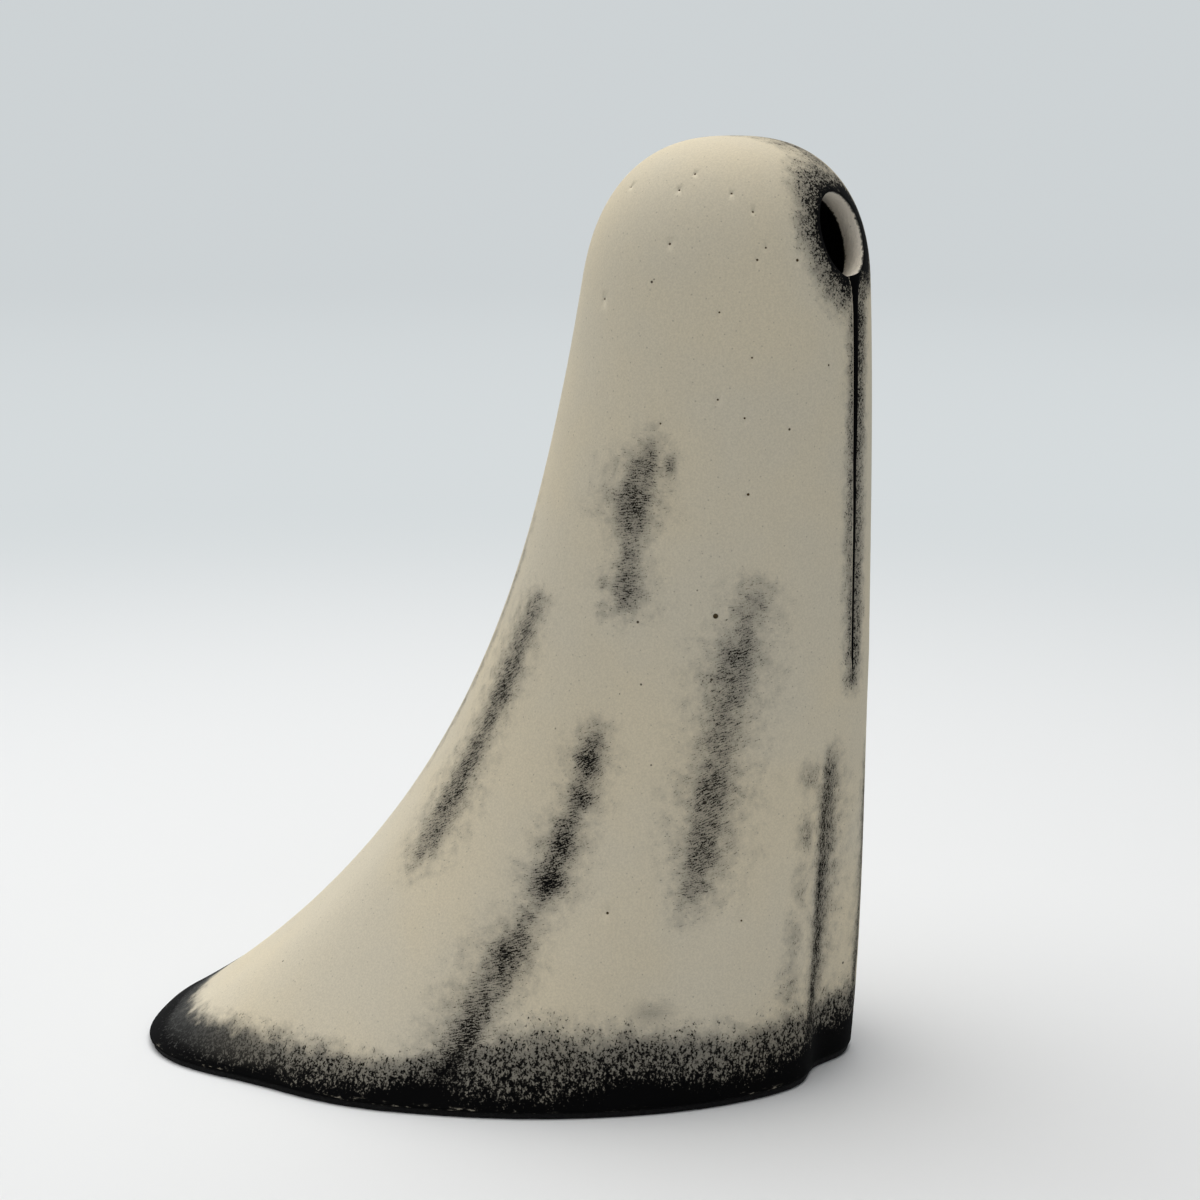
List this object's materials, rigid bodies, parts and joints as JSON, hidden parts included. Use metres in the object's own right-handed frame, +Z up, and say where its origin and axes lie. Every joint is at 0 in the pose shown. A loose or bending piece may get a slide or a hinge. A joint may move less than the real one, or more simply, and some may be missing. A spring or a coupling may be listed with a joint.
{
  "type": "ghost figurine",
  "caption": "Free-standing hollow hooded ghost with an oval face opening, a front groove and a train sweeping back to one side, cream with dry-brushed black folds.",
  "frame": {"origin": "middle of the bounding box in plan, at the underside of the felt that the figurine stands on", "axes": "+Z up; the face opening and the front groove look along -Y; the train trails towards +Y and swings 26 degrees towards -X"},
  "size_m": [0.0882, 0.1156, 0.15],
  "materials": {
    "cast_cream": "smooth matte unglazed cream, dry-brushed with black paint",
    "dark_board": "dark fibreboard, matte",
    "black_felt": "short-napped black felt"
  },
  "bodies": {
    "root": {"shroud_shell": "cast_cream", "base_board": "dark_board", "felt_base": "black_felt"}
  },
  "joints": []
}
